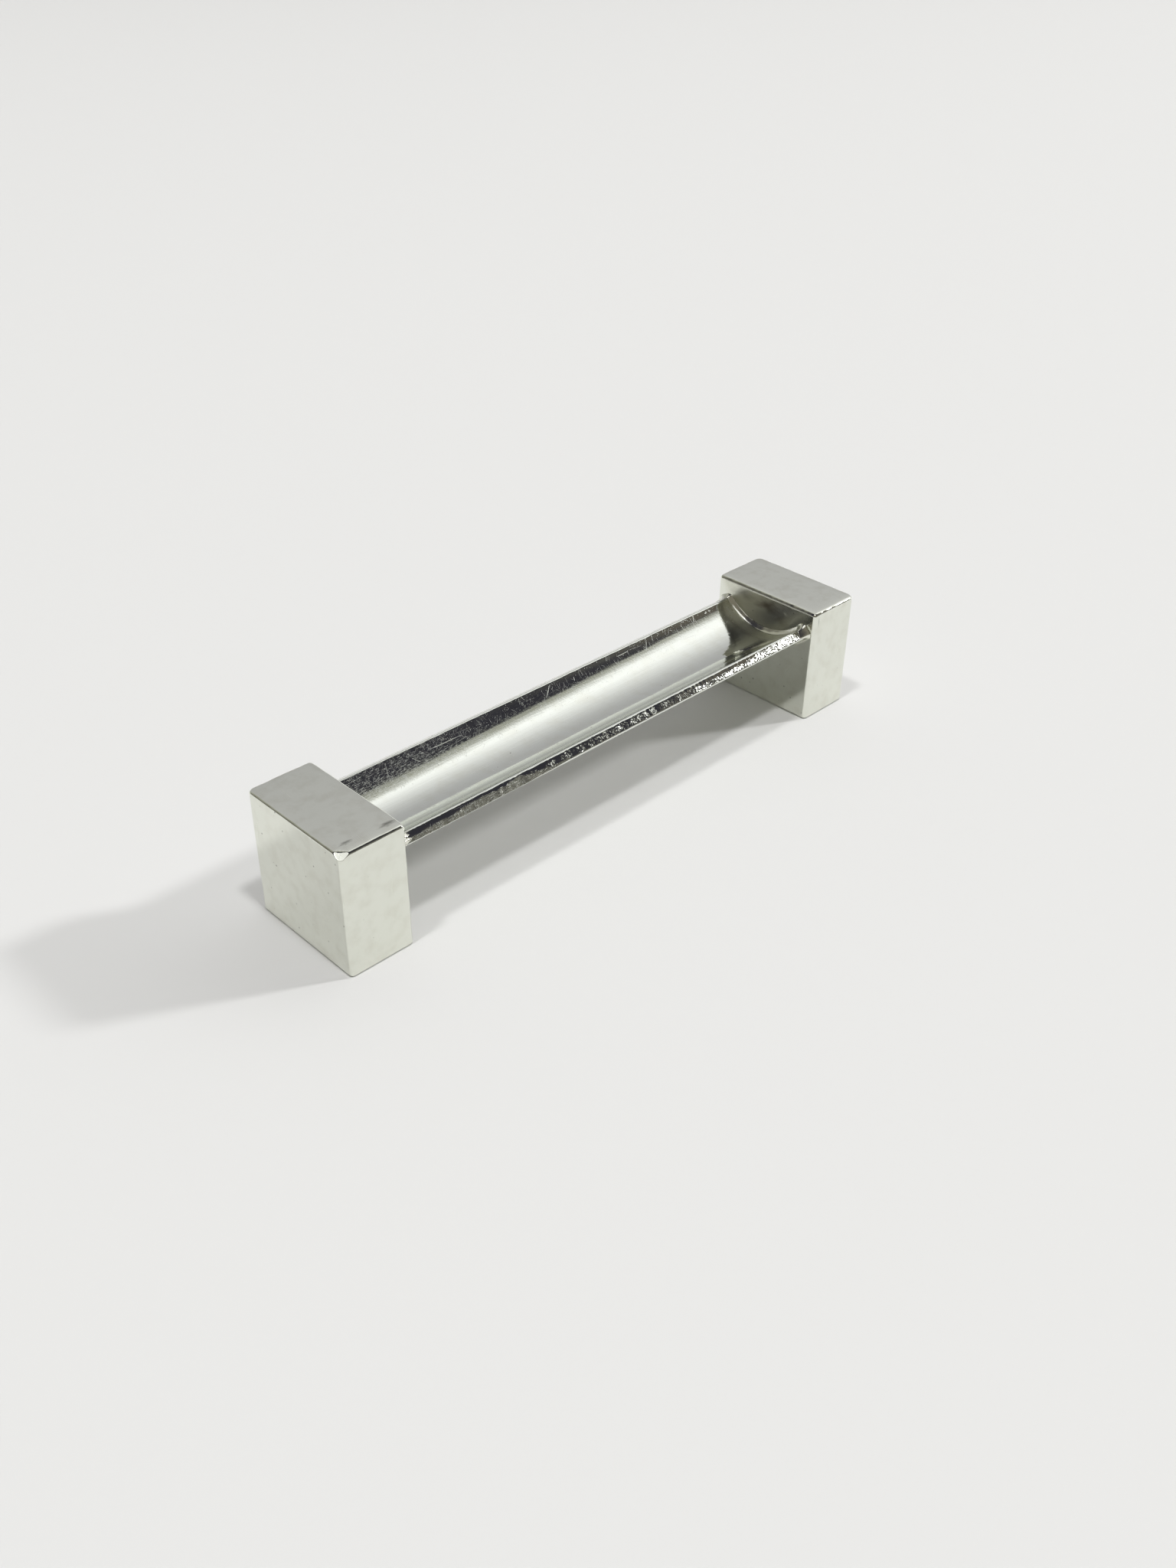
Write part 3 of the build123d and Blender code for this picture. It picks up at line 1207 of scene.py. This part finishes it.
@dataclass
class SolderSeam:
    """Hollow fillet of hard solder round one end of the trough, as it flowed.

    Attributes:
        end: which end of the trough it closes.
        trough: the trough that it follows.
        rim_reach: how much further it runs along the rims, where the solder gathered.
        leg: reach of the fillet along the trough and up the block.
        lumps: how uneven it is all round, and how much more so at the rims.
    """

    end: End
    trough: Trough
    rim_reach: float
    leg: float = 0.30
    lumps: Pair = (0.22, 0.5)

    # Profile: how straight it is, its share under the trough, its root inside the metal, and its samples
    STRAIGHT = 0.5
    UNDER_LEG = 0.55
    ROOT = 0.02
    PROFILE_COUNT = 9
    ROW_UV = 0.06

    # Lumps all round and at the rims: their length, seed and number of waves; and the rims' soft border
    LUMP_WAVES = ((1.5, 31, 5), (0.4, 33, 7))
    BORDER = 6

    @property
    def node(self) -> str:
        """Name of the CAD node that the seam stands for."""
        return f"{self.end.word}_solder_seam"

    def surface(self) -> SurfaceGrid:
        """Carries a hollow profile round the trough's end section, with the joint's corner behind it.

        The profile is half way between a quarter circle and a straight slope. It is smaller under the
        trough, and longer along the rims.

        Returns:
            The closed ring of solder.
        """
        low, high = box_mm(self.node)
        side = self.end.value
        face_x = high[0] if self.end is End.RIGHT else low[0]
        yz, coordinate = self.trough.section(np.array([face_x, face_x]))[:2]
        ring = yz[0]
        tangent = np.roll(ring, -1, 0) - np.roll(ring, 1, 0)
        outward = np.stack([tangent[:, 1], -tangent[:, 0]], -1)
        outward /= np.linalg.norm(outward, axis=1, keepdims=True)
        top = outward[:, 1] > 0
        rims = (outward[:, 0] * ring[:, 0] > 0) & top
        window = np.ones(2 * self.BORDER + 1) / (2 * self.BORDER + 1)
        at_rim, on_top = (np.convolve(np.pad(mask, self.BORDER, "wrap"), window, "valid")
                          for mask in (rims, top))
        round_lumps, rim_lumps = (Wave(length, seed + side, swing, count).at(coordinate[:-1])
                                  for (length, seed, count), swing in zip(self.LUMP_WAVES, self.lumps))
        lump = 1 + round_lumps + at_rim * rim_lumps
        leg = self.leg * (self.UNDER_LEG + (1 - self.UNDER_LEG) * on_top)
        up_leg = leg * lump
        along_leg = (leg + self.rim_reach * at_rim) * lump
        share = np.linspace(0.0, 1.0, self.PROFILE_COUNT)[:, None]
        bend, hollow = share * math.pi / 2, 1 - self.STRAIGHT
        up = np.concatenate([up_leg * (hollow * (1 - np.sin(bend)) + self.STRAIGHT * (1 - share)),
                             np.full((1, len(ring)), -self.ROOT)])
        along = np.concatenate([along_leg * (hollow * (1 - np.cos(bend)) + self.STRAIGHT * share),
                                np.zeros((1, len(ring)))])
        flat = ring[None] + up[..., None] * outward[None]
        points = np.concatenate([(face_x - side * along)[..., None], flat], -1)
        if self.end is End.RIGHT:
            points = points[::-1]
        rows_uv = np.arange(len(points))[:, None] * self.ROW_UV
        uv = np.stack(np.broadcast_arrays(coordinate, rows_uv), -1)
        return SurfaceGrid(points, np.stack([uv, uv], 1), closed_rows=True)

    def build(self, material: bpy.types.Material) -> bpy.types.Object:
        """Builds the seam and dresses it.

        Args:
            material: the solder's finish.

        Returns:
            The seam's object.
        """
        piece = self.surface().to_object(f"{self.end.word}_seam_flowed")
        put_in_frame(piece, self.node, material)
        return piece


@dataclass(frozen=True)
class Lamp:
    """A round soft lamp far off, given by where it stands in the sky and what it adds to the floor.

    Attributes:
        name: name of the lamp.
        azimuth: direction from +X towards +Y.
        elevation: height above the horizon.
        share: share of the floor's light that it gives.
        width: angle that it fills, seen from the object.
        spot: how much brighter than white polished metal sees it.
        halo: tone that metal sees round it, or none.
    """

    name: str
    azimuth: float
    elevation: float
    share: float
    width: float = 5.5
    spot: float = 4.0
    halo: str = ""
    DISTANCE = 5.0

    @property
    def towards(self) -> Vector:
        """Direction from the object to the lamp."""
        turn, rise = math.radians(self.azimuth), math.radians(self.elevation)
        return Vector((math.cos(turn) * math.cos(rise), math.sin(turn) * math.cos(rise), math.sin(rise)))

    def build(self) -> None:
        """Adds the lamp, aimed at the object, with the power that gives the floor its share.

        Metal sees the lamp as a spot of the room instead, so that its image doesn't burn out.
        """
        data = bpy.data.lights.new(self.name, "AREA")
        data.shape = "DISK"
        data.size = 2 * self.DISTANCE * math.tan(math.radians(self.width / 2))
        data.energy = self.share * math.pi * math.pi * self.DISTANCE ** 2 / self.towards.z
        lamp = bpy.data.objects.new(self.name, data)
        lamp.location = self.towards * self.DISTANCE
        lamp.rotation_mode = "QUATERNION"
        lamp.rotation_quaternion = self.towards.to_track_quat("Z", "Y")
        lamp.visible_camera = False
        lamp.visible_glossy = False
        bpy.context.scene.collection.objects.link(lamp)


@dataclass
class Studio:
    """Floor, lamps, room and camera round the object.

    Attributes:
        floor_radius: half of the floor's side, in metres.
        lens: focal length on the sensor, along the picture's long side.
        eye: the camera's place.
        azimuth: the camera's turn about Z; 0 looks along +Y.
        elevation: the camera's height above the horizon.
        roll: the camera's turn about its own axis.
        lamps: the lamps, from the shadows in the photograph.
        room_dark: tone of the near side, which polished metal shows as black.
        room_left: tone of the near side to the left of the camera.
        room_side: tone of the near side's walls, low down and in the corner behind the left end.
        room_shade: tone of the strip between the near and the far side.
        room_wall: tone of the far side's walls.
        room_window: colour of the window and of the panel overhead.
        window_level: how much brighter than white the window is.
        window_way: direction in which the window's light rises.
        window_range: share of that direction where it begins and where it is full.
        window_power: how steeply it rises between them.
        far_side: direction of the middle of the far side.
        shade_edge: soft edge between the near side and the shaded strip.
        lit_side: direction of the middle of the lit far wall.
        far_edge: share of that direction where the shaded strip ends and where the wall is fully lit.
        wall_rise: direction in which the near side's walls end; they stand higher on the right.
        wall_top: share of that direction where they end.
        left_way: direction of the middle of the near side's left.
        left_edge: share of that direction where it begins and where it is full.
        corner_edge: Y of the direction where the corner behind the left end begins.
        backdrop: what the camera sees past the floor.
        backdrop_top: Z of the direction where the backdrop ends upwards.
        panel_way: direction of the panel overhead.
        panel_edge: cosine of the angle from it, where the panel begins and where it is full.
        halo_edge: angles from a lamp over which its halo fades in.
    """

    floor_radius: float = 12.0
    lens: float = 33.095
    eye: Triple = (-99.768, -100.82, 96.919)
    azimuth: float = -44.897
    elevation: float = 34.060
    roll: float = 0.823
    lamps: tuple[Lamp, ...] = (
        Lamp("low_lamp", -28.0, 29.0, 0.205, spot=12.0, halo="#625c54"),
        Lamp("front_top_lamp", -90.0, 73.0, 0.275),
        Lamp("left_top_lamp", -176.0, 72.0, 0.235),
    )
    room_dark: str = "#34333a"
    room_left: str = "#7d796e"
    room_side: str = "#77756d"
    room_shade: str = "#a6a69c"
    room_wall: str = "#b3b2b4"
    room_window: str = "#ffffff"
    window_level: float = 1.22
    window_way: Triple = (0.0, -1.0, 1.0)
    window_range: Pair = (-0.5, 0.75)
    window_power: float = 2.2
    far_side: Triple = (0.70, 0.714, 0.0)
    shade_edge: Pair = (0.215, 0.248)
    lit_side: Triple = (0.848, 0.53, 0.0)
    far_edge: Pair = (0.385, 0.498)
    wall_rise: Triple = (-0.35, 0.0, 1.0)
    wall_top: Pair = (0.50, 0.25)
    left_way: Triple = (-0.60, -0.80, 0.0)
    left_edge: Pair = (0.12, 0.72)
    corner_edge: Pair = (0.42, 0.62)
    backdrop: str = "#e5e5e5"
    backdrop_top: Pair = (0.22, 0.08)
    panel_way: Triple = (-0.24, -0.17, 0.956)
    panel_edge: Pair = (0.940, 0.966)
    halo_edge: Pair = (12.5, 7.5)
    SPOT_EDGE = (0.8, 0.5)
    HALO_LAYER = 3
    SENSOR = 36.0
    CLIP = (0.01, 100.0)

    def build_floor(self) -> None:
        """Adds the pale floor under the object."""
        r = self.floor_radius
        mesh = bpy.data.meshes.new("floor")
        mesh.from_pydata([(-r, -r, 0.0), (r, -r, 0.0), (r, r, 0.0), (-r, r, 0.0)], [], [(0, 1, 2, 3)])
        mesh.materials.append(MattFloor().build())
        floor = bpy.data.objects.new("floor", mesh)
        bpy.context.scene.collection.objects.link(floor)

    def build_room(self) -> None:
        """Makes the world: a bright far side and a dark near side, with a pale backdrop round the horizon.

        The tone is a smooth function of the direction. The near side is where the direction points to the
        camera's side of an upright plane. On the far side the light falls off from the window, high over
        the trough's right end, as a power of the direction's Z less its Y. A soft panel hangs overhead to
        the left, and each lamp is a round spot. Low down, the metal sees the same backdrop as the camera.
        """
        world = bpy.data.worlds.new("studio_room")
        bpy.context.scene.world = world
        world.use_nodes = True
        tree = world.node_tree
        tree.nodes.clear()
        way = add_node(tree, "ShaderNodeTexCoord").outputs["Generated"]
        axes = add_node(tree, "ShaderNodeSeparateXYZ", {0: way}).outputs
        ways = (self.window_way, self.left_way, self.wall_rise, self.far_side, self.lit_side,
                self.panel_way, *(lamp.towards for lamp in self.lamps))
        to_window, to_left, up_wall, to_far, to_lit, to_panel, *to_lamps = (
            add_node(tree, "ShaderNodeVectorMath", {
                0: way, 1: middle}, operation="DOT_PRODUCT").outputs["Value"] for middle in ways)
        near_window = add_node(tree, "ShaderNodeMapRange", {
            "Value": to_window, "From Min": self.window_range[0], "From Max": self.window_range[1]})
        falloff = add_node(tree, "ShaderNodeMath", {
            0: near_window.outputs[0], 1: self.window_power}, operation="POWER")
        bright = linear(self.room_window)
        window = tuple(self.window_level * v for v in bright[:3]) + (1.0,)
        lit = add_node(tree, "ShaderNodeMix", {
            0: falloff.outputs[0], 6: linear(self.room_wall), 7: window}, data_type="RGBA")

        layers = [(to_left, self.left_edge, linear(self.room_left)),
                  (up_wall, self.wall_top, linear(self.room_side)),
                  (axes["Y"], self.corner_edge, linear(self.room_side)),
                  (to_far, self.shade_edge, linear(self.room_shade)),
                  (to_lit, self.far_edge, lit.outputs[2]),
                  (axes["Z"], self.backdrop_top, linear(self.backdrop)),
                  (to_panel, self.panel_edge, bright)]
        for lamp, beam in zip(self.lamps, to_lamps):
            edge, halo_edge = (tuple(math.cos(math.radians(angle)) for angle in angles) for angles in (
                [lamp.width * reach for reach in self.SPOT_EDGE], self.halo_edge))
            if lamp.halo:
                layers.insert(self.HALO_LAYER, (beam, halo_edge, linear(lamp.halo)))
            layers.append((beam, edge, (lamp.spot, lamp.spot, lamp.spot, 1.0)))
        tone = linear(self.room_dark)
        for value, (low, high), colour in layers:
            share = add_node(tree, "ShaderNodeMapRange", {
                "Value": value, "From Min": low, "From Max": high}, interpolation_type="SMOOTHSTEP")
            tone = add_node(tree, "ShaderNodeMix", {
                0: share.outputs[0], 6: tone, 7: colour}, data_type="RGBA").outputs[2]

        seen = add_node(tree, "ShaderNodeLightPath")
        shown = add_node(tree, "ShaderNodeMix", {
            0: seen.outputs["Is Camera Ray"], 6: tone, 7: linear(self.backdrop)}, data_type="RGBA")
        glow = add_node(tree, "ShaderNodeBackground", {"Color": shown.outputs[2], "Strength": 1.0})
        add_node(tree, "ShaderNodeOutputWorld", {"Surface": glow.outputs[0]})

    def build_camera(self) -> None:
        """Adds the camera at the photograph's place and angle."""
        turn, rise, roll = (math.radians(v) for v in (self.azimuth, self.elevation, self.roll))
        right = Vector((math.cos(turn), math.sin(turn), 0.0))
        back = Vector((math.sin(turn) * math.cos(rise), -math.cos(turn) * math.cos(rise), math.sin(rise)))
        up = back.cross(right)
        cosine, sine = math.cos(roll), math.sin(roll)
        right, up = cosine * right + sine * up, cosine * up - sine * right
        data = bpy.data.cameras.new("camera")
        data.lens = self.lens
        data.sensor_width = self.SENSOR
        data.clip_start, data.clip_end = self.CLIP
        camera = bpy.data.objects.new("camera", data)
        turned = Matrix((right, up, back)).transposed().to_4x4()
        camera.matrix_world = Matrix.Translation(Vector(self.eye) * MM) @ turned
        bpy.context.scene.collection.objects.link(camera)
        bpy.context.scene.camera = camera

    def build(self) -> None:
        """Builds the whole studio."""
        self.build_floor()
        for lamp in self.lamps:
            lamp.build()
        self.build_room()
        self.build_camera()
        bpy.context.scene.view_settings.view_transform = "Standard"


# Hairlines: turn, length, width, share of the places, and more of them where it is worn
BLOCK_HAIRLINES = (
    Hairlines(86.0, 12.0, 0.14, 0.05),
    Hairlines(63.0, 9.0, 0.14, 0.03),
    Hairlines(128.0, 9.0, 0.14, 0.03),
)
TROUGH_HAIRLINES = (
    Hairlines(3.0, 16.0, 0.14, 0.06, 0.30),
    Hairlines(-4.0, 9.0, 0.10, 0.03, 0.50),
    Hairlines(90.0, 3.0, 0.10, 0.01, 0.95),
    Hairlines(58.0, 2.6, 0.10, 0.02, 0.95),
    Hairlines(118.0, 2.6, 0.10, 0.01, 0.90),
    Hairlines(31.0, 2.0, 0.10, 0.01, 0.90),
    Hairlines(146.0, 2.0, 0.10, 0.01, 0.80),
    Hairlines(72.0, 7.0, 0.24, 0.02, 0.04),
    Hairlines(0.0, 0.34, 0.30, 0.02, 0.50),
)

# Deep scratches on the back wall: place along and across, turn, length and width
TROUGH_GOUGES = (
    Gouge((-16.6, 5.44), -1.0, 5.4, 0.14),
    Gouge((-20.9, 5.10), -50.0, 1.4),
    Gouge((-14.3, 4.15), 55.0, 0.6, 0.12),
    Gouge((-0.93, 5.64), 42.0, 2.1, 0.14),
    Gouge((3.3, 5.65), 75.0, 0.7, 0.10),
    Gouge((9.1, 4.55), 86.0, 1.2, 0.08),
    Gouge((11.6, 5.88), 1.0, 2.3, 0.12),
    Gouge((15.6, 5.65), 55.0, 1.8, 0.10),
    Gouge((24.5, 5.95), 62.0, 1.1, 0.16),
    Gouge((26.9, 6.05), 25.0, 0.45, 0.24),
    Gouge((27.6, 6.10), -10.0, 0.40, 0.24),
    Gouge((29.1, 6.10), 45.0, 1.1, 0.22),
)

# Stains and scuffs: the middle and the reach each way
BLOCK_BLOTS = (
    Blot((-38.1, -6.3, 15.1), (1.1, 0.36, 0.5)),
    Blot((-33.3, -6.55, 15.1), (1.4, 0.48, 0.5), share=0.7),
    Blot((32.0, 3.6, 14.0), (0.5, 2.4, 1.1), share=0.5, colour="#4e4a40"),
    Blot((32.0, -0.4, 13.5), (0.5, 2.6, 1.1), share=0.75, colour="#5d4d3c"),
    Blot((32.0, -2.6, 12.4), (0.5, 1.6, 1.0), share=0.4, colour="#7d705a"),
    Blot((32.0, 0.5, 13.3), (0.3, 0.55, 0.30), share=0.0, scuff=0.5),
    Blot((32.0, -3.2, 13.5), (0.3, 0.50, 0.30), share=0.0, scuff=0.5),
    Blot((32.0, -2.0, 11.45), (0.3, 0.25, 0.25), share=0.0, scuff=0.5),
    Blot((32.8, -7.9, 13.8), (0.16, 0.3, 1.0), share=0.45),
)
TROUGH_BLOTS = (
    Blot((29.7, 2.6, 10.6), (0.75, 3.4, 2.2), share=0.45, colour="#8d887a"),
    Blot((30.6, 4.6, 11.8), (0.5, 1.2, 1.2), share=0.0, scuff=0.45),
    Blot((30.8, 1.6, 10.4), (0.5, 1.4, 0.8), share=0.0, scuff=0.45),
)


def main() -> None:
    """Builds the pieces and the studio."""
    logging.basicConfig(level=logging.INFO)
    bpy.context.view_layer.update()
    buffed = SilverPlate(
        "silver_plate_buffed", BLOCK_HAIRLINES, line_slope=0.35, grain_slope=0.2, line_turn=90.0,
        blots=BLOCK_BLOTS).build()
    rolled = SilverPlate(
        "silver_plate_rolled_and_worn", TROUGH_HAIRLINES, line_slope=1.0, grain_slope=0.6,
        blots=TROUGH_BLOTS, gouges=TROUGH_GOUGES, clean="#e8ebe4", tarnish="#e4e6dd", roughness=0.045,
        smear=0.03).build()
    flowed = HardSolder().build()
    gritty = HardSolder("hard_solder_plated_gritty", roughness=0.10, lump=0.3, lump_height=0.05).build()
    trough = Trough()
    bruise = Knock(face=(0.355, -0.39, 0.85), depth=0.62)
    worn_edge = Knock(face=(-0.89, 0.0, 0.455), depth=0.165)
    EndBlock(End.LEFT, trough, top_radii=(0.27, 0.32, 0.32, 0.34), roll_off=(0.03, 0.04, 0.04, 0.07),
             knocks=(bruise,), outer_upright_radii=(0.5, 0.85)).build(buffed)
    EndBlock(End.RIGHT, trough, top_radii=(0.32, 0.35, 0.40, 0.36), roll_off=(0.03, 0.04, 0.10, 0.10),
             knocks=(worn_edge,)).build(buffed)
    trough.build(rolled)
    SolderSeam(End.LEFT, trough, rim_reach=0.9).build(gritty)
    SolderSeam(End.RIGHT, trough, rim_reach=1.1, leg=0.5, lumps=(0.08, 0.0)).build(flowed)
    Studio().build()


if __name__ == "__main__":
    main()
